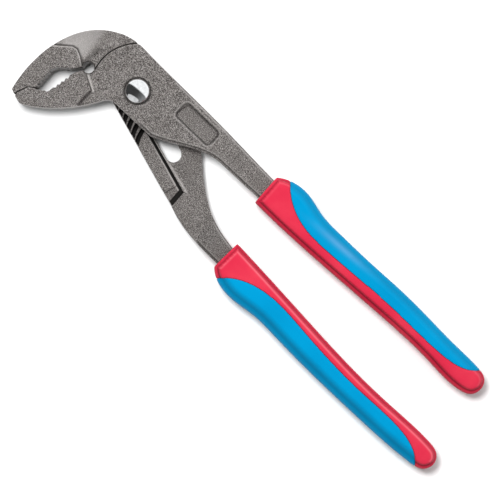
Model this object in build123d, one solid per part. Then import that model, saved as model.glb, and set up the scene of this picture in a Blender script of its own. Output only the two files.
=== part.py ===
"""Tongue and groove pliers, millimetres. Row frame: origin on the pivot axis in the resting plane,
+X from the pivot to the handle ends, +Z up from the resting plane. Jaws closed, first groove."""

import os
from math import cos, radians, sin

from build123d import *

# Levels above the resting plane
PLATE_BACK = 1.7  # back of the rear lever, where the nut slides
WEB_TOP = 6.6  # floor beside the slot
RAIL_TOP = 8.0
FRONT_BACK = 8.1  # hidden face of the front lever
PLATE_TOP = 13.6
JAW_TOP = 14.4  # raised side faces of both jaws
PANEL_FLOOR = 12.4
SHANK_LOW, SHANK_HIGH = 4.6, 11.4  # both handles, centred in the thickness
GRIP_HEIGHT = 16.0

# Pivot
PIN_RADIUS = 3.42
BORE_RADIUS = 3.5
HEAD_RADIUS = 5.2
HEAD_SEAT = 12.9
COUNTERBORE = 5.8
HEAD_RIM = 1.0
DOME_RISE = 2.1
TAIL_RADIUS = 2.4
NUT_RADIUS = 5.6
BOSS_RADIUS = 5.1

# Lap joint
NOSE_RADIUS = 20.1
SHOULDER_RADIUS = 20.5
RELIEF_CENTRE = (-22.3, -6.1)
RELIEF_RADIUS = 2.4

# Slot and rail. "Along" runs down the slot, "across" is measured from it toward the rail.
SLOT_ANGLE = -19.5
SLOT_START, SLOT_END = -1.5, 30.5
GROOVES = 9
PITCH = 3.6
GROOVE_INNER, GROOVE_OUTER = 14.0, 16.0
GROOVE_FLOOR = 4.4
TONGUE_INNER, TONGUE_OUTER = 14.3, 15.7
TONGUE_TIP = 6.4
CHANNEL = (4.2, 5.4)
CHANNEL_FLOOR = 5.8
RAIL_EDGE = 11.65
RAIL_START_X, RAIL_END_X = -18.2, 40.8
CHANNEL_END_X = 42.9

# Edges of the raised jaw faces, away from the teeth
FRONT_JAW_EDGE = [(-22.6, -8.5), (-20.6, -8.9), (-14.9, -12.6), (-14.9, -13.4), (-15.3, -20.7)]
REAR_JAW_EDGE = [(-39.6, -8.6), (-33.2, -3.8), (-31.1, -3.4), (-28.1, -4.9), (-25.1, -7.2)]

# Grips
PAD_THICKNESS = 1.8
GRIP_ROUND = 4.5


def along(distance, across=0.0):
    """A point by its distance along the slot and its offset toward the rail."""
    a = radians(SLOT_ANGLE)
    return (
        distance * cos(a) + across * sin(a),
        distance * sin(a) - across * cos(a),
    )


def teeth(start, end, count, depth, crest=0.35):
    """Sawteeth from start to end. Depth is to the left of that direction, and each root sits at crest."""
    dx, dy = (end[0] - start[0]) / count, (end[1] - start[1]) / count
    length = (dx * dx + dy * dy) ** 0.5
    nx, ny = -dy / length * depth, dx / length * depth
    points = [start]
    for i in range(count):
        x, y = start[0] + dx * i, start[1] + dy * i
        points += [(x + dx * crest + nx, y + dy * crest + ny), (x + dx, y + dy)]
    return points


def outline(*runs):
    """A face from runs of points. A run marked smooth is a curve, any other is straight."""
    edges = []
    last = first = None
    for kind, points in runs:
        if last is not None and last != points[0]:
            edges.append(Line(last, points[0]))
        if kind == "smooth":
            edges.append(Spline(*points))
        else:
            edges += [Line(a, b) for a, b in zip(points, points[1:])]
        first = first or points[0]
        last = points[-1]
    edges.append(Line(last, first))
    return make_face(edges)


def slab(face, low, high):
    return Pos(0, 0, low) * extrude(face, high - low, dir=(0, 0, 1))


def side_profile(points):
    """The lever's thickness along its length, as a solid wider than the lever."""
    return extrude(make_face(Plane.XZ * Polyline(*points, close=True)), 80, both=True)


def band(start, end, near, far):
    """A face beside the slot, between two distances along it and two offsets toward the rail."""
    corners = [along(start, near), along(end, near), along(end, far), along(start, far)]
    return make_face(Polyline(*corners, close=True))


def column(left, right):
    """Everything between two X values, to keep a part of a shape."""
    return Pos((left + right) / 2, 0, 0) * Box(right - left, 200, 100)


def disc(radius, low, high, centre=(0, 0)):
    return Pos(*centre, low) * Cylinder(
        radius, high - low, align=(Align.CENTER, Align.CENTER, Align.MIN)
    )


def arc_sector(inner, outer, start, end, centre):
    """Part of a ring. Angles run from the jaw end of the slot toward the rail."""
    a0, a1 = radians(180 + SLOT_ANGLE + start), radians(180 + SLOT_ANGLE + end)

    def at(radius, angle):
        return (centre[0] + radius * cos(angle), centre[1] + radius * sin(angle))

    mid = (a0 + a1) / 2
    return make_face(
        [
            ThreePointArc(at(inner, a0), at(inner, mid), at(inner, a1)),
            Line(at(inner, a1), at(outer, a1)),
            ThreePointArc(at(outer, a1), at(outer, mid), at(outer, a0)),
            Line(at(outer, a0), at(inner, a0)),
        ]
    )


def front_plan():
    nose_low, nose_high = radians(194.5), radians(130)
    nose = [
        (NOSE_RADIUS * cos(nose_low), NOSE_RADIUS * sin(nose_low)),
        (NOSE_RADIUS * cos(nose_high), NOSE_RADIUS * sin(nose_high)),
    ]
    middle = (NOSE_RADIUS * cos(radians(160)), NOSE_RADIUS * sin(radians(160)))
    top = [(-11.6, 15.7), (-5.6, 15.1), (10.4, 14.0), (40.4, 12.0), (68.4, 9.5), (130, 7), (180, 3.5)]
    under = [(180, -2.5), (130, -1.4), (68.4, -0.5), (48.4, 0.1)]
    under += [(40.4, -0.6), (28.4, -5.6), (16.7, -10.9)]
    outer = [(-3.6, -10.2), (-6.6, -10.8), (-10.0, -14.9), (-14.0, -20.3), (-20.0, -26.8)]
    outer += [(-26.0, -31.9), (-34.5, -36.8)]
    seam = [(-38.0, -35.7), (-38.2, -33.9), (-36.0, -29.1), (-34.6, -28.2)]
    seam += teeth((-33.4, -27.6), (-28.4, -24.6), 3, -0.55)
    grip = teeth((-28.1, -22.3), (-26.1, -13.7), 4, -0.85)
    root = [(-25.1, -11.4), (-23.6, -9.0)]
    edges = [
        ThreePointArc(nose[0], middle, nose[1]),
        Line(nose[1], top[0]),
        Spline(*top),
        Line(top[-1], under[0]),
        Spline(*under[:4]),
        Spline(*under[3:]),
        Line(under[-1], outer[0]),
        Spline(*outer),
    ]
    run = [outer[-1], *seam, *grip, *root, nose[0]]
    edges += [Line(a, b) for a, b in zip(run, run[1:])]
    return make_face(edges)


def rear_plan():
    crown = [(-12.6, 15.6), (-19.6, 14.6), (-31.6, 7.4), (-37.9, -2.4), (-41.0, -13.0)]
    crown += [(-41.9, -22.0), (-40.9, -34.3)]
    seam = [(-38.7, -35.4), (-38.75, -34.0), (-36.6, -29.4), (-34.9, -28.0), (-33.9, -27.4)]
    grip = teeth((-33.4, -26.4), (-33.3, -16.6), 5, 0.6)
    root = teeth((-32.7, -15.4), (-27.8, -11.6), 3, 0.6) + [(-24.6, -7.9), along(-18.6, RAIL_EDGE)]
    rail = [along(-18.6, RAIL_EDGE), along(49.0, RAIL_EDGE)]
    under = [along(49.0, RAIL_EDGE), (56.4, -31.7), (73.4, -33.3), (100, -35.8), (130, -38.2), (186, -39.7)]
    upper = [(186, -34), (130, -31), (100, -27.5), (73.9, -23.8), (60.4, -19.9)]
    upper += [(48.4, -12.1), (37.9, -2.2)]
    edges = [Spline(*crown), Line(crown[-1], seam[0])]
    run = [*seam, *grip, *root]
    edges += [Line(a, b) for a, b in zip(run, run[1:])]
    edges += [Line(*rail), Spline(*under), Line(under[-1], upper[0]), Spline(*upper)]
    edges.append(Line(upper[-1], crown[0]))
    return make_face(edges)


def front_lever():
    profile = side_profile(
        [
            (-60, PLATE_BACK), (0, PLATE_BACK), (0, FRONT_BACK), (50, FRONT_BACK),
            (62, SHANK_LOW), (190, SHANK_LOW), (190, SHANK_HIGH), (62, SHANK_HIGH),
            (40, PLATE_TOP), (-60, PLATE_TOP),
        ]
    )
    plan = front_plan()
    body = slab(plan, PLATE_BACK, PLATE_TOP) & profile
    body -= disc(SHOULDER_RADIUS, 0, FRONT_BACK)
    jaw = outline(("straight", [*FRONT_JAW_EDGE, (-15, -45), (-50, -45), (-50, -8.5)]))
    body += slab(plan & jaw, PLATE_TOP - 0.1, JAW_TOP)
    body += disc(BOSS_RADIUS, WEB_TOP + 0.05, FRONT_BACK + 0.5)
    tongue = arc_sector(TONGUE_INNER, TONGUE_OUTER, 22, 49, (0, 0))
    body += slab(tongue, TONGUE_TIP, FRONT_BACK + 0.5)
    body -= disc(BORE_RADIUS, 0, 20)
    body -= disc(COUNTERBORE, HEAD_SEAT, 20)
    body -= disc(RELIEF_RADIUS, 0, 20, RELIEF_CENTRE)
    return body - panel()


def panel():
    """Recessed panel on the front lever, left plain."""
    corners = Polyline((18.4, 2.9), (36.9, 1.9), (38.4, 9.0), (20.0, 9.9), close=True)
    face = fillet(make_face(corners).vertices(), 1.6)
    return slab(face, PANEL_FLOOR, 20)


def rail():
    """Raised rail, from the lap joint to its squared end."""
    face = band(-24, 43, CHANNEL[1], RAIL_EDGE)
    return slab(face, PLATE_BACK, RAIL_TOP) & column(RAIL_START_X, RAIL_END_X)


def channel():
    """Trench beside the rail, turning down round its squared end."""
    beside = slab(band(-16, 60, *CHANNEL), CHANNEL_FLOOR, 20)
    past_end = slab(band(30, 60, CHANNEL[0], 30), CHANNEL_FLOOR, 20)
    return beside & column(-60, CHANNEL_END_X), past_end & column(RAIL_END_X, CHANNEL_END_X)


def slot():
    body = slab(band(SLOT_START, SLOT_END, -BORE_RADIUS, BORE_RADIUS), 0, 20)
    return body + [disc(BORE_RADIUS, 0, 20, along(end)) for end in (SLOT_START, SLOT_END)]


def rear_lever():
    profile = side_profile(
        [
            (-60, PLATE_BACK), (50, PLATE_BACK), (64, SHANK_LOW), (200, SHANK_LOW),
            (200, SHANK_HIGH), (66, SHANK_HIGH), (54, WEB_TOP), (0, WEB_TOP),
            (0, PLATE_TOP), (-60, PLATE_TOP),
        ]
    )
    plan = rear_plan()
    body = slab(plan, PLATE_BACK, PLATE_TOP) & profile
    body -= disc(SHOULDER_RADIUS, WEB_TOP, 20)
    jaw = outline(("straight", [(-60, -24), *REAR_JAW_EDGE, (-25.1, -45), (-60, -45)]))
    body += slab(plan & jaw, PLATE_TOP - 0.1, JAW_TOP)
    body += rail()
    for trench in channel():
        body -= trench
    body -= slot()
    for i in range(GROOVES):
        groove = arc_sector(GROOVE_INNER, GROOVE_OUTER, 18, 60, along(i * PITCH))
        body -= slab(groove, GROOVE_FLOOR, 20)
    return body - disc(RELIEF_RADIUS, 0, 20, RELIEF_CENTRE)


def pivot_bolt():
    """Domed head, shank through both levers and a thinner tail in the nut."""
    rim = HEAD_SEAT + HEAD_RIM
    dome_radius = (HEAD_RADIUS**2 + DOME_RISE**2) / (2 * DOME_RISE)
    dome = Pos(0, 0, rim + DOME_RISE - dome_radius) * Sphere(dome_radius)
    head = disc(HEAD_RADIUS, HEAD_SEAT, rim + DOME_RISE) & dome
    shank = disc(PIN_RADIUS, PLATE_BACK, HEAD_SEAT)
    return head + shank + disc(TAIL_RADIUS, 0.4, PLATE_BACK)


def pivot_nut():
    """Round nut fixed on the tail, flat on the resting plane."""
    nut = disc(NUT_RADIUS, 0, PLATE_BACK)
    nut = chamfer(nut.edges().filter_by(GeomType.CIRCLE).sort_by(Axis.Z)[0], 0.4)
    return nut - disc(TAIL_RADIUS, 0.4, PLATE_BACK)


def inset(points, distance):
    """The same run of points moved inward, for a run that goes clockwise."""
    moved = []
    for i, (x, y) in enumerate(points):
        x0, y0 = points[max(i - 1, 0)]
        x1, y1 = points[min(i + 1, len(points) - 1)]
        length = ((x1 - x0) ** 2 + (y1 - y0) ** 2) ** 0.5
        moved.append((x + (y1 - y0) / length * distance, y - (x1 - x0) / length * distance))
    return moved


def rounded_bar(points, low, high, radius):
    """A bar with a flat end, its long edges rounded above and below."""
    bar = slab(make_face([Spline(*points), Line(points[-1], points[0])]), low, high)
    edges = bar.edges().filter_by(GeomType.BSPLINE)
    return fillet(edges, radius)


def grip(points):
    """Whole grip, and its inner core under the pad."""
    whole = rounded_bar(points, 0, GRIP_HEIGHT, GRIP_ROUND)
    core = rounded_bar(
        inset(points, PAD_THICKNESS), PAD_THICKNESS, GRIP_HEIGHT - PAD_THICKNESS,
        GRIP_ROUND - PAD_THICKNESS,
    )
    return whole, core


def front_grip():
    """Points of the front grip, clockwise from the end nearest the pivot."""
    top = [(68.8, 11.2), (75.4, 14.3), (83.4, 14.7), (94, 11.9), (105, 10.75), (122, 10.0)]
    top += [(142, 9.6), (160, 8.3), (172, 7.3), (186.4, 6.4)]
    tip = [(192.2, 4.4), (193.8, 0.5), (192.2, -4.0)]
    under = [(186.4, -6.2), (170.4, -5.4), (140.4, -4.2), (110.4, -4.2), (68.8, -2.9)]
    return top + tip + under


def front_pad_zone():
    edge = [
        (74.3, 13.7), (80.4, 7.7), (90.4, 3.0), (104.4, 1.45), (140.4, 1.5), (170, 0.25),
        (182.4, 2.05), (188.4, 6.1),
    ]
    return outline(("smooth", edge), ("straight", [(200, 16), (200, 30), (60, 30), (68, 20)]))


def rear_grip():
    """Points of the rear grip, clockwise from the end nearest the pivot."""
    top = [(74.7, -21.1), (84, -22.1), (112.4, -25.4), (144.4, -29.0), (168, -30.3), (184, -30.6)]
    top += [(192, -31.2)]
    tip = [(197.6, -33.0), (199.6, -37.3), (197.6, -41.6)]
    under = [(191, -43.4), (160.4, -43.4), (126, -41.7), (110, -40.3), (100, -39.75)]
    under += [(90, -40.5), (77, -37.9), (73.6, -35.0)]
    return top + tip + under


def rear_pad_zone():
    edge = [
        (77.7, -38.1), (84.4, -32.7), (97.4, -29.0), (120.4, -30.7), (156.4, -34.2), (177.4, -35.1),
        (187.4, -37.7), (194.3, -43.4),
    ]
    return outline(("smooth", edge), ("straight", [(200, -52), (200, -60), (60, -60), (68, -48)]))


def sleeve_and_pad(face, zone, lever):
    whole, core = grip(face)
    pad = (whole - core) & slab(zone, -1, GRIP_HEIGHT + 1)
    return whole - pad - lever, pad - lever


os.makedirs("parts", exist_ok=True)
front, rear = front_lever(), rear_lever()
front_sleeve, front_pad = sleeve_and_pad(front_grip(), front_pad_zone(), front)
rear_sleeve, rear_pad = sleeve_and_pad(rear_grip(), rear_pad_zone(), rear)
for name, shape in {
    "front_lever": front,
    "rear_lever": rear,
    "pivot_bolt": pivot_bolt(),
    "pivot_nut": pivot_nut(),
    "front_grip_sleeve": front_sleeve,
    "front_grip_pad": front_pad,
    "rear_grip_sleeve": rear_sleeve,
    "rear_grip_pad": rear_pad,
}.items():
    export_step(shape, f"parts/{name}.step")
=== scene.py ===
"""Tongue and groove pliers: looks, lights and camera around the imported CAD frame. Metres, row frame."""

from math import cos, pi, radians, sin

import bmesh
import bpy
import numpy as np
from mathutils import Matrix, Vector

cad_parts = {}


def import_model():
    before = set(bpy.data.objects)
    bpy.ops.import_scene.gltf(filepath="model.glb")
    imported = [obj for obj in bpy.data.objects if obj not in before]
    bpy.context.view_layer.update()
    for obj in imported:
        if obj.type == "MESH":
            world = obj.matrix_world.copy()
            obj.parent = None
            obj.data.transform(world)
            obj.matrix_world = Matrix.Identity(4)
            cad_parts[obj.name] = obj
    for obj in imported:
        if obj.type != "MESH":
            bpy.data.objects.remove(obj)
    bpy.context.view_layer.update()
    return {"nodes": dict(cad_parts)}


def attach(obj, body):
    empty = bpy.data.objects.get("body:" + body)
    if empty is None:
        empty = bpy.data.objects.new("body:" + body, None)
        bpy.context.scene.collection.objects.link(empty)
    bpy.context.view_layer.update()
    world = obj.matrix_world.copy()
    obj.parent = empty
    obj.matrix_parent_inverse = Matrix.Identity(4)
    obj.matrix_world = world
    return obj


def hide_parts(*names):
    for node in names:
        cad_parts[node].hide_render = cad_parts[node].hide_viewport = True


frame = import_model()

MM = 0.001
FORGING_VOXEL = 0.22 * MM
GRIP_VOXEL = 0.40 * MM
OUTLINE_SLICE = 0.5  # millimetres between points found on an outline
# Rounding lightens edges, as wear and a painted highlight, and darkens hollows with painted shade; these
# set how far it must move them.
EDGE_FROM, EDGE_RANGE, EDGE_MOST = 0.035, 0.09, 0.4  # how far rounding moves a worn edge, in millimetres
CHUNK = 4000  # points compared with an outline at a time

# The view: straight down, turned 41 degrees about the vertical
VIEW_TURN = radians(41)
RIGHT = Vector((cos(VIEW_TURN), sin(VIEW_TURN), 0))
UP = Vector((-sin(VIEW_TURN), cos(VIEW_TURN), 0))
VIEW_CENTRE = Vector((0.0805, -0.0196, 0))
VIEW_WIDTH = 0.21325
VIEW_DISTANCE = 1.0
FOCUS_LEVEL = 0.011


# ---------------------------------------------------------------- meshes


def baked(piece):
    """Turns the piece's modifiers into its mesh."""
    bpy.context.view_layer.update()
    deps = bpy.context.evaluated_depsgraph_get()
    mesh = bpy.data.meshes.new_from_object(piece.evaluated_get(deps))
    piece.modifiers.clear()
    piece.data = mesh


def dense_copy(node, voxel, name, smooth):
    """A closed, evenly meshed copy of a CAD node with rounded edges. It marks them for the material:
    rounded edges get wear and a painted highlight, filled hollows painted shade.
    """
    piece = bpy.data.objects.new(name, frame["nodes"][node].data.copy())
    bpy.context.scene.collection.objects.link(piece)
    remesh = piece.modifiers.new("remesh", "REMESH")
    remesh.mode = "VOXEL"
    remesh.voxel_size = voxel
    baked(piece)
    sharp = points_of(piece)
    soften = piece.modifiers.new("soften", "SMOOTH")
    soften.factor = 0.5
    soften.iterations = smooth
    baked(piece)
    normal = np.empty(sharp.size)
    piece.data.vertices.foreach_get("normal", normal)
    rounded_in = ((sharp - points_of(piece)) * normal.reshape(-1, 3)).sum(axis=1)
    # Lighter edges: wear and a painted highlight. Darker hollows: painted shade.
    mark(piece, "edge", np.clip((rounded_in - EDGE_FROM) / EDGE_RANGE, 0, EDGE_MOST))
    mark(piece, "crease", np.clip((-rounded_in - EDGE_FROM) / EDGE_RANGE, 0, 1))
    piece.data.materials.clear()
    piece.data.name = name
    piece.data.shade_smooth()
    return piece


def points_of(piece):
    """The piece's vertices in millimetres, one row each."""
    co = np.empty(len(piece.data.vertices) * 3)
    piece.data.vertices.foreach_get("co", co)
    return co.reshape(-1, 3) / MM


def lower(piece, depth, start, full):
    """Lowers the upper face by depth millimetres. Nothing moves below start, all of it above full."""
    co = points_of(piece)
    co[:, 2] -= depth * np.clip((co[:, 2] - start) / (full - start), 0, 1)
    piece.data.vertices.foreach_set("co", (co * MM).ravel())
    piece.data.update()


def mark(piece, name, values):
    """Stores a number from 0 to 1 at every vertex, for the material to read by name."""
    piece.data.attributes.new(name, "FLOAT", "POINT").data.foreach_set("value", values.astype(float))


def add_mark(piece, name, values):
    """Raises the stored numbers wherever the new ones are greater."""
    stored = piece.data.attributes[name].data
    old = np.empty(len(piece.data.vertices))
    stored.foreach_get("value", old)
    stored.foreach_set("value", np.maximum(old, np.clip(values, 0, 1)))


def clear_mark(piece, name):
    piece.data.attributes[name].data.foreach_set("value", np.zeros(len(piece.data.vertices)))


def outline_of(pieces):
    """Points on the outline seen from above: the furthest ones in thin slices, both ways."""
    co = np.vstack([points_of(piece)[:, :2] for piece in pieces])
    found = []
    for across, other in ((0, 1), (1, 0)):
        slices = np.round(co[:, across] / OUTLINE_SLICE).astype(int)
        order = np.argsort(slices)
        for rows in np.split(co[order], np.unique(slices[order], return_index=True)[1][1:]):
            found += [rows[rows[:, other].argmin()], rows[rows[:, other].argmax()]]
    return np.array(found)


def inside_by(co, outline):
    """How far each point lies from the outline, and from 0 to 1 how far its nearest side faces down."""
    distance, below = np.empty(len(co)), np.empty(len(co))
    for start in range(0, len(co), CHUNK):
        part = slice(start, start + CHUNK)
        gap = outline[None, :, :] - co[part, None, :2]
        length = np.hypot(gap[..., 0], gap[..., 1])
        nearest = length.argmin(axis=1)
        rows = np.arange(len(nearest))
        distance[part] = length[rows, nearest]
        below[part] = smoothed(0.5 - gap[rows, nearest, 1] / (distance[part] + 0.01))
    return distance, below


def near_line(x, y, a, b):
    """Distance from the segment a to b."""
    ax, ay = a
    dx, dy = b[0] - ax, b[1] - ay
    t = np.clip(((x - ax) * dx + (y - ay) * dy) / (dx * dx + dy * dy), 0, 1)
    return np.hypot(x - ax - t * dx, y - ay - t * dy)


def near_path(x, y, path):
    """Distance from a run of straight lines."""
    return np.min([near_line(x, y, a, b) for a, b in zip(path, path[1:])], axis=0)


def smoothed(t):
    """0 below 0, 1 above 1 and a smooth step between."""
    t = np.clip(t, 0, 1)
    return t * t * (3 - 2 * t)


def dip(distance, width, depth):
    """A bell: depth at distance 0, a third of it at width."""
    return depth * np.exp(-((distance / width) ** 2))


def turned(name, profile, segments=96):
    """A solid of revolution about the pivot axis from (radius, height) points in millimetres."""
    bm = bmesh.new()
    rings = []
    for radius, height in profile:
        if radius == 0:
            rings.append([bm.verts.new((0, 0, height * MM))])
            continue
        angles = [2 * pi * i / segments for i in range(segments)]
        rings.append(
            [bm.verts.new((radius * MM * cos(a), radius * MM * sin(a), height * MM)) for a in angles]
        )
    for low, high in zip(rings, rings[1:]):
        for i in range(segments):
            j = (i + 1) % segments
            corners = [low[i % len(low)], low[j % len(low)], high[j % len(high)], high[i % len(high)]]
            bm.faces.new(list(dict.fromkeys(corners)))
    bmesh.ops.recalc_face_normals(bm, faces=bm.faces)
    mesh = bpy.data.meshes.new(name)
    bm.to_mesh(mesh)
    bm.free()
    mesh.shade_smooth()
    piece = bpy.data.objects.new(name, mesh)
    bpy.context.scene.collection.objects.link(piece)
    return piece


# ---------------------------------------------------------------- materials


class Nodes:
    """A short way to write a material's nodes."""

    def __init__(self, name):
        self.material = bpy.data.materials.new(name)
        self.material.use_nodes = True
        self.tree = self.material.node_tree
        self.shader = self.tree.nodes["Principled BSDF"]
        self.place = self.add("ShaderNodeTexCoord").outputs["Object"]

    def add(self, kind, **values):
        node = self.tree.nodes.new(kind)
        for key, value in values.items():
            setattr(node, key, value)
        return node

    def link(self, source, target):
        self.tree.links.new(source, target)

    def noise(self, scale, detail=4.0, roughness=0.55):
        node = self.add("ShaderNodeTexNoise")
        node.inputs["Scale"].default_value = scale
        node.inputs["Detail"].default_value = detail
        node.inputs["Roughness"].default_value = roughness
        self.link(self.place, node.inputs["Vector"])
        return node.outputs["Fac"]

    def ramp(self, source, *stops):
        node = self.add("ShaderNodeValToRGB")
        bar = node.color_ramp
        while len(bar.elements) < len(stops):
            bar.elements.new(0.5)
        for element, (position, colour) in zip(bar.elements, stops):
            element.position = position
            element.color = (*colour, 1) if len(colour) == 3 else colour
        self.link(source, node.inputs["Fac"])
        return node.outputs["Color"]

    def mix(self, factor, a, b, blend="MIX"):
        node = self.add("ShaderNodeMix", data_type="RGBA", blend_type=blend)
        for socket, value in (("Factor", factor), (6, a), (7, b)):
            target = node.inputs[socket]
            if isinstance(value, bpy.types.NodeSocket):
                self.link(value, target)
            else:
                target.default_value = value if isinstance(value, float) else (*value, 1)
        return node.outputs[2]

    def bump(self, source, strength, distance, under=None):
        node = self.add("ShaderNodeBump")
        node.inputs["Strength"].default_value = strength
        node.inputs["Distance"].default_value = distance
        self.link(source, node.inputs["Height"])
        if under is not None:
            self.link(under, node.inputs["Normal"])
        return node.outputs["Normal"]

    def range(self, source, low, high, start=0.0, end=1.0):
        node = self.add("ShaderNodeMapRange")
        for key, value in (("From Min", start), ("From Max", end), ("To Min", low), ("To Max", high)):
            node.inputs[key].default_value = value
        self.link(source, node.inputs["Value"])
        return node.outputs["Result"]

    def marked(self, name, most):
        """A mark on the mesh, scaled so that 1 becomes most."""
        return self.range(self.add("ShaderNodeAttribute", attribute_name=name).outputs["Fac"], 0.0, most)


def forged_steel():
    """Speckled forging. Marks give edges lightened by wear and painted highlights, painted shade in
    creases, recesses and on the rear shank, and a smooth neck lightened by painted light.
    """
    n = Nodes("forged_steel")
    grain = n.noise(2900, 1.5, 0.7)
    cloud = n.noise(150, 3.0)
    fine = n.ramp(
        grain, (0.34, (0.035, 0.031, 0.029)), (0.50, (0.150, 0.137, 0.131)), (0.66, (0.480, 0.450, 0.435))
    )
    broad = n.ramp(cloud, (0.3, (0.90, 0.89, 0.88)), (0.7, (1.08, 1.08, 1.08)))
    colour = n.mix(1.0, fine, broad, "MULTIPLY")
    # Neck: an even, smoother finish lightened with painted light.
    colour = n.mix(n.marked("smooth", 0.72), colour, (0.350, 0.331, 0.322))
    # Lighter edges: wear and painted highlights.
    colour = n.mix(n.marked("edge", 0.7), colour, (0.50, 0.470, 0.455))
    # Very dark creases: painted shade.
    colour = n.mix(n.marked("crease", 0.8), colour, (0.022, 0.019, 0.018))
    # Very dark recesses and a darker rear shank: painted shade.
    colour = n.mix(n.marked("painted_shade", 1.0), colour, (0.012, 0.011, 0.010))
    n.link(colour, n.shader.inputs["Base Color"])
    n.shader.inputs["Metallic"].default_value = 0.6
    n.link(n.range(grain, 0.34, 0.46), n.shader.inputs["Roughness"])
    coarse = n.bump(n.noise(700, 2.0), 0.15, 0.00010)
    n.link(n.bump(grain, 0.80, 0.00012, coarse), n.shader.inputs["Normal"])
    return n.material


def polished_steel():
    n = Nodes("polished_steel")
    haze = n.noise(900, 4.0)
    colour = n.ramp(haze, (0.3, (0.72, 0.72, 0.73)), (0.7, (0.86, 0.86, 0.87)))
    n.link(colour, n.shader.inputs["Base Color"])
    n.shader.inputs["Metallic"].default_value = 1.0
    n.link(n.range(haze, 0.05, 0.11), n.shader.inputs["Roughness"])
    n.link(n.bump(n.noise(2600, 2.0), 0.05, 0.00002), n.shader.inputs["Normal"])
    return n.material


def moulded_grip(name, dark, mid, light):
    n = Nodes(name)
    cloud = n.noise(55, 3.0)
    speck = n.noise(3200, 2.0)
    colour = n.ramp(cloud, (0.25, dark), (0.5, mid), (0.8, light))
    # Lighter where marked: painted highlights.
    colour = n.mix(n.marked("edge", 0.5), colour, (0.80, 0.48, 0.52), "SCREEN")
    # Darker where marked: painted shade at the ledges.
    colour = n.mix(n.marked("crease", 0.85), colour, (0.06, 0.05, 0.06), "MULTIPLY")
    n.link(colour, n.shader.inputs["Base Color"])
    n.link(n.range(speck, 0.34, 0.50), n.shader.inputs["Roughness"])
    n.link(n.bump(speck, 0.12, 0.00004), n.shader.inputs["Normal"])
    n.shader.inputs["Specular IOR Level"].default_value = 0.04
    return n.material


STEEL = forged_steel()
POLISHED = polished_steel()
RED = moulded_grip("red_grip", (0.41, 0.014, 0.038), (0.44, 0.019, 0.044), (0.48, 0.032, 0.056))
BLUE = moulded_grip("blue_grip", (0.0, 0.175, 0.35), (0.0, 0.190, 0.375), (0.0, 0.205, 0.40))


def place(piece, node, body, material):
    piece.data.materials.append(material)
    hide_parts(node)
    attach(piece, body)


# ---------------------------------------------------------------- places, in millimetres


SLOT_TURN = radians(-19.5)
FRONT_FACE_EDGE = [(-22.6, -8.7), (-21.0, -9.0), (-15.0, -12.7)]
FRONT_FACE_SIDE = [(-15.0, -13.6), (-15.2, -20.7)]
HOOK_FACE_EDGE = [(-39.6, -8.6), (-33.2, -3.8), (-31.1, -3.4), (-28.1, -4.9), (-25.1, -7.2)]
VALLEY = (-24.9, -5.5), (-23.9, 2.5)
VALLEY_CORE = -24.9, -5.6
RELIEF_HOLE = -22.3, -6.1
RELIEF_RING = 2.7
PIVOT_RING = 5.65
PANEL_CENTRE = 28.5, 6.1
PANEL_HALF = 10.1, 4.2
PANEL_CORNER = 2.3
PANEL_TURN = radians(-2.8)
RAIL_EDGE = (15.0, -10.9), (40.5, -20.5)
BANK_EDGE = (17.0, -10.6), (43.6, -18.6)
CHANNEL_END = 44.5
# Where painted shade on the rear shank begins.
DARK_SHANK_START = 54
HIGHLIGHT_PATCH_CENTRE = 109, 6.6

# Levels between which a height change fades in, and above which a mark is made
STEEL_TOP, WEB_TOP, GRIP_TOP = (9.5, 13), (5.0, 6.2), (8, 12)
FRONT_MARKS, REAR_MARKS, GRIP_MARKS = 10.5, 9, 9


def side_of(x, y, path):
    """True to the left of the path's ends, which is away from the raised face."""
    (ax, ay), (bx, by) = path[0], path[-1]
    return (bx - ax) * (y - ay) - (by - ay) * (x - ax) > 0


def across_slot(x, y):
    """Distance from the slot's middle line, toward the channel and the grooves."""
    return x * sin(SLOT_TURN) - y * cos(SLOT_TURN)


def above_hook_face(x, y):
    """Height over the hook face's edge, negative on the face."""
    return y - np.interp(x, *zip(*HOOK_FACE_EDGE))


# Painted shade in a ring round the relief hole.
def hole_ring(x, y):
    return dip(np.hypot(x - RELIEF_HOLE[0], y - RELIEF_HOLE[1]) - RELIEF_RING, 0.38, 1.0)


def panel_wall(x, y):
    """Distance from the recessed panel's wall, negative inside it."""
    x, y = x - PANEL_CENTRE[0], y - PANEL_CENTRE[1]
    u = np.abs(x * cos(PANEL_TURN) + y * sin(PANEL_TURN)) - PANEL_HALF[0] + PANEL_CORNER
    v = np.abs(y * cos(PANEL_TURN) - x * sin(PANEL_TURN)) - PANEL_HALF[1] + PANEL_CORNER
    return np.hypot(np.maximum(u, 0), np.maximum(v, 0)) + np.minimum(np.maximum(u, v), 0) - PANEL_CORNER


# ---------------------------------------------------------------- levers


def front_relief(x, y):
    """How far the front's top drops: a crease round the raised face, less a bank and the panel's rim."""
    edge, side = near_path(x, y, FRONT_FACE_EDGE), near_path(x, y, FRONT_FACE_SIDE)
    bank = -0.75 * np.clip(1 - np.abs(edge - 0.45) / 1.2, 0, 1) * side_of(x, y, FRONT_FACE_EDGE)
    crease = dip(edge, 0.28, 0.7) + dip(side, 0.55, 0.9)
    rim = dip(panel_wall(x, y) - 0.5, 0.5, -0.14)
    return bank + crease + rim


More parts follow.
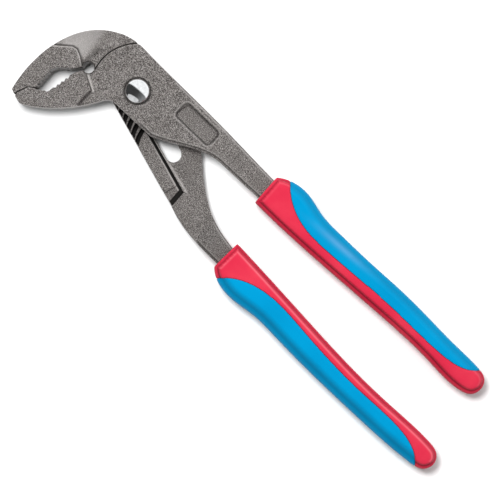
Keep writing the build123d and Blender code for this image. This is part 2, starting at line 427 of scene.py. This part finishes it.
def front_marks(x, y):
    """Painted highlights on the bank and the panel rim; painted shade in the crease, on the face side, in
    the rings round the pivot and the hole and at the panel wall.
    """
    edge, wall = near_path(x, y, FRONT_FACE_EDGE), panel_wall(x, y)
    bank = dip(edge - 0.75, 0.40, 1.0) * side_of(x, y, FRONT_FACE_EDGE)
    dark = [
        dip(edge, 0.24, 0.9),
        dip(near_path(x, y, FRONT_FACE_SIDE), 0.7, 0.55),
        dip(np.hypot(x, y) - PIVOT_RING, 0.36, 1.0),
        hole_ring(x, y),
        dip(wall + 0.40, 0.42, 1.0),
    ]
    return np.maximum(bank, dip(wall - 0.40, 0.3, 0.5)), np.max(dark, axis=0)


def rear_relief(x, y):
    """How far the neck behind the hook jaw drops from its face, up to a steep dark wall."""
    rise = above_hook_face(x, y)
    fall = 3.0 * (1 - np.exp(-np.maximum(rise, 0) / 4.5))
    wall_end = np.interp(y, [-5, 3, 10], [-24.2, -23.4, -20.0])
    across = smoothed((x + 43.0) / 12.0) * smoothed((wall_end - x) / 3.6)
    return fall * across + dip(near_path(x, y, HOOK_FACE_EDGE) - 0.3, 0.35, 0.7) * (rise > 0)


def rear_marks(x, y):
    """Painted highlight on the edge of the hook's face; painted shade in the line beside it, in the valley
    and in the ring round the hole.
    """
    rise, edge = above_hook_face(x, y), near_path(x, y, HOOK_FACE_EDGE)
    dark = [
        dip(edge - 0.2, 0.26, 1.0) * (rise > 0),
        dip(near_line(x, y, *VALLEY), 1.3, 0.62),
        dip(np.hypot(x - VALLEY_CORE[0], y - VALLEY_CORE[1]), 1.3, 0.9),
        hole_ring(x, y),
    ]
    return dip(edge - 0.35, 0.28, 0.9) * (rise < 0), np.max(dark, axis=0)


def neck(x, y):
    """Smooth part of the neck, lightened with painted light, ending at the face and at the valley."""
    away = np.hypot((x + 32.5) / 6.0, (y - 1.5) / 7.5)
    return smoothed(1.9 - away) * smoothed((-24.8 - x) / 4.0) * (above_hook_face(x, y) > 0.3)


def channel_bank(x, y):
    """The rear web dips toward the channel, then climbs to its edge in a narrow lit bank."""
    across = across_slot(x, y)
    within = (across < 4.3) * (x < CHANNEL_END) * (x > 10) * np.clip((CHANNEL_END - x) / 1.5, 0, 1)
    return np.interp(across, [-1.0, 3.0, 4.2], [0, 0.7, 0]) * within


def recess(x, y, z):
    """The channel beside the rail, its turned-down end and the grooves, where very dark painted shade goes.
    """
    across = across_slot(x, y)
    return (z < 6.45) & (z > 3.9) & (across > 4.1) & (across < 11.4) & (x > -18) & (x < 43.1)


def rail_marks(x, y, z):
    """Painted highlights on the edges on both sides of the channel."""
    edges = np.maximum(
        dip(near_line(x, y, *RAIL_EDGE), 0.34, 1.0), dip(near_line(x, y, *BANK_EDGE), 0.5, 0.8)
    )
    return edges * (z > 6.0) * (z < 9)


def mark_shank(piece, reach):
    """Lines of painted highlight and painted shade inside the upper and lower edges, from x = reach on."""
    co = points_of(piece)
    rows = np.flatnonzero(co[:, 2] > STEEL_TOP[0])
    distance, below = inside_by(co[rows], outline_of([piece]))
    above, along = 1 - below, smoothed((co[rows, 0] - reach) / 4.0)
    bright, dark = np.zeros(len(co)), np.zeros(len(co))
    bright[rows] = along * (below * dip(distance - 1.45, 0.25, 0.6) + above * dip(distance - 0.7, 0.3, 0.9))
    dark[rows] = along * (below * dip(distance - 0.9, 0.36, 1.0) + above * dip(distance - 0.1, 0.3, 0.9))
    add_mark(piece, "edge", bright)
    add_mark(piece, "crease", dark)


def front_forging():
    piece = dense_copy("front_lever", FORGING_VOXEL, "front_forging", 4)
    x, y, z = points_of(piece).T
    lower(piece, front_relief(x, y), *STEEL_TOP)
    bright, dark = front_marks(x, y)
    # Painted highlights and painted shade on the front lever's top.
    add_mark(piece, "edge", bright * (z > FRONT_MARKS))
    add_mark(piece, "crease", dark * (z > FRONT_MARKS))
    mark_shank(piece, 8)
    place(piece, "front_lever", "front_half", STEEL)


def rear_forging():
    piece = dense_copy("rear_lever", FORGING_VOXEL, "rear_forging", 4)
    x, y, z = points_of(piece).T
    upper = z > REAR_MARKS
    lower(piece, rear_relief(x, y), *STEEL_TOP)
    lower(piece, channel_bank(x, y) * (z < 7), *WEB_TOP)
    bright, dark = rear_marks(x, y)
    # Painted highlights on the hook face and the channel edges; painted shade in the line, the valley and
    # the hole ring.
    add_mark(piece, "edge", np.maximum(bright * upper, rail_marks(x, y, z)))
    add_mark(piece, "crease", dark * upper)
    mark_shank(piece, 46)
    # The neck's even, lighter tone is a smoother finish with painted light.
    mark(piece, "smooth", neck(x, y) * upper)
    # Painted shade: very dark in the recesses, darker on the rear shank from DARK_SHANK_START on.
    mark(piece, "painted_shade", np.maximum(recess(x, y, z), 0.16 * smoothed((x - DARK_SHANK_START) / 5) * upper))
    place(piece, "rear_lever", "rear_half", STEEL)


# ---------------------------------------------------------------- grips


def step_edge(piece, outline, foot, run, height, shade, shine):
    """A ledge round the grip: its top drops by height, over run, at foot (above, below) from the outline.

    The foot gets painted shade of strength shade, stronger on the lower side, and a line inside it on the
    upper side a painted highlight of strength shine."""
    co = points_of(piece)
    distance, below = inside_by(co, outline)
    beyond = distance - foot[0] - (foot[1] - foot[0]) * below
    drop = height * np.clip(1 - beyond / run, 0, 1)
    lower(piece, drop + dip(beyond, 0.5 * run, 0.3 * height), *GRIP_TOP)
    upper = co[:, 2] > GRIP_MARKS
    # Painted shade at the ledge's foot.
    add_mark(piece, "crease", dip(beyond, 0.5 * run, shade) * (0.45 + 0.55 * below) * upper)
    # Painted highlight line on the upper side.
    add_mark(piece, "edge", dip(beyond - run - 0.4, 0.4, shine) * (1 - below) * upper)


def grip(side, shine):
    """A lever's sleeve and pad, stepped in from their common outline. Only the steps' lines of painted
    shade and highlight are marked.
    """
    sleeve = dense_copy(f"{side}_grip_sleeve", GRIP_VOXEL, f"{side}_sleeve", 6)
    pad = dense_copy(f"{side}_grip_pad", GRIP_VOXEL, f"{side}_pad", 6)
    outline = outline_of([sleeve, pad])
    for piece in (sleeve, pad):
        clear_mark(piece, "edge")
        clear_mark(piece, "crease")
    step_edge(sleeve, outline, foot=(1.0, 1.7), run=0.9, height=0.9, shade=0.75, shine=shine)
    step_edge(pad, outline, foot=(1.8, 2.4), run=2.6, height=1.0, shade=0.40, shine=0)
    place(sleeve, f"{side}_grip_sleeve", f"{side}_half", RED)
    place(pad, f"{side}_grip_pad", f"{side}_half", BLUE)
    return pad


def painted_highlight_patch(pad):
    """A long, faint painted highlight on the front pad."""
    x, y, z = points_of(pad).T
    away = np.hypot((x - HIGHLIGHT_PATCH_CENTRE[0]) / 9, y - HIGHLIGHT_PATCH_CENTRE[1])
    add_mark(pad, "edge", dip(away, 1.3, 0.12) * (z > GRIP_MARKS))


# ---------------------------------------------------------------- pivot


def bolt():
    """Domed head on a shank, with a thinner tail in the nut."""
    head, shank, tail = 5.2, 3.4, 2.35
    seat, rim, rise = 12.9, 13.9, 2.1
    dome = [(head * cos(a), rim + rise * sin(a)) for a in [radians(6 * i) for i in range(15)]]
    body = [(0, 0.45), (tail, 0.45), (tail, 1.7), (shank, 1.7), (shank, seat), (5.0, seat), (head, 13.1)]
    piece = turned("bolt", [*body, *dome, (0, rim + rise)])
    place(piece, "pivot_bolt", "rear_half", POLISHED)


def nut():
    """Round nut with rounded rims, open through the middle."""
    bore, flat, radius = 2.4, 5.15, 5.55
    back, edge, face = 0.02, 0.42, 1.68
    outside = [(flat, back), (radius, edge), (radius, face)]
    piece = turned("nut", [(bore, edge), (bore, back), *outside, (bore, face), (bore, edge)])
    place(piece, "pivot_nut", "rear_half", POLISHED)


front_forging()
rear_forging()
# Painted highlight on the front pad.
painted_highlight_patch(grip("front", shine=0.12))
grip("rear", shine=0.30)
bolt()
nut()


# ---------------------------------------------------------------- stage


def floor(half=4.0):
    """Plain pale ground, twice half wide."""
    mesh = bpy.data.meshes.new("floor")
    corners = [(-half, -half, 0), (half, -half, 0), (half, half, 0), (-half, half, 0)]
    mesh.from_pydata(corners, [], [(0, 1, 2, 3)])
    plane = bpy.data.objects.new("floor", mesh)
    bpy.context.scene.collection.objects.link(plane)
    n = Nodes("floor")
    pale = n.ramp(n.noise(3, 2.0), (0.0, (0.70, 0.70, 0.70)), (1.0, (0.73, 0.73, 0.73)))
    n.link(pale, n.shader.inputs["Base Color"])
    n.shader.inputs["Roughness"].default_value = 0.9
    mesh.materials.append(n.material)


def lamp(name, aside, above, height, size, power):
    """A soft square lamp that gives no reflections, placed by the view's right and up, facing the tool."""
    light = bpy.data.lights.new(name, "AREA")
    light.shape = "SQUARE"
    light.size = size
    light.energy = power
    holder = bpy.data.objects.new(name, light)
    holder.location = VIEW_CENTRE + RIGHT * aside + UP * above + Vector((0, 0, height))
    aim = VIEW_CENTRE - holder.location
    holder.rotation_euler = aim.to_track_quat("-Z", "Y").to_euler()
    holder.visible_glossy = False
    bpy.context.scene.collection.objects.link(holder)


def camera():
    data = bpy.data.cameras.new("camera")
    data.sensor_width = 36
    data.lens = 36 * VIEW_DISTANCE / VIEW_WIDTH
    data.clip_end = 20
    holder = bpy.data.objects.new("camera", data)
    holder.location = VIEW_CENTRE + Vector((0, 0, FOCUS_LEVEL + VIEW_DISTANCE))
    holder.rotation_euler = (0, 0, VIEW_TURN)
    bpy.context.scene.collection.objects.link(holder)
    bpy.context.scene.camera = holder


def world():
    """Studio sky: bright along +Y, a weaker panel opposite, and between them dark, less so along +X."""
    sky = bpy.data.worlds.new("world")
    sky.use_nodes = True
    tree = sky.node_tree
    direction = tree.nodes.new("ShaderNodeTexCoord").outputs["Generated"]

    def toward(x, y, z, start, end, low, high):
        """Strength from low to high as the direction's cosine with (x, y, z) goes from start to end."""
        dot = tree.nodes.new("ShaderNodeVectorMath")
        dot.operation = "DOT_PRODUCT"
        dot.inputs[1].default_value = Vector((x, y, z)).normalized()
        tree.links.new(direction, dot.inputs[0])
        level = tree.nodes.new("ShaderNodeMapRange")
        level.interpolation_type = "SMOOTHSTEP"
        for key, value in (("From Min", start), ("From Max", end), ("To Min", low), ("To Max", high)):
            level.inputs[key].default_value = value
        tree.links.new(dot.outputs["Value"], level.inputs["Value"])
        return level.outputs["Result"]

    def greatest(a, b):
        node = tree.nodes.new("ShaderNodeMath")
        node.operation = "MAXIMUM"
        tree.links.new(a, node.inputs[0])
        tree.links.new(b, node.inputs[1])
        return node.outputs[0]

    base = toward(1, 0, 0, -0.1, 0.9, 0.05, 0.26)
    bright = toward(0, 0.995, -0.100, -0.02, 0.08, 0.0, 1.15)
    panel = toward(0.10, -0.86, 0.50, 0.80, 0.86, 0.0, 0.75)
    strength = greatest(greatest(base, bright), panel)
    tree.links.new(strength, tree.nodes["Background"].inputs["Strength"])
    tree.nodes["Background"].inputs["Color"].default_value = (0.985, 1, 1, 1)
    bpy.context.scene.world = sky
    bpy.context.scene.view_settings.view_transform = "Standard"


floor()
world()
lamp("overhead", -0.15, 0.20, 0.90, 0.26, 12.0)
camera()
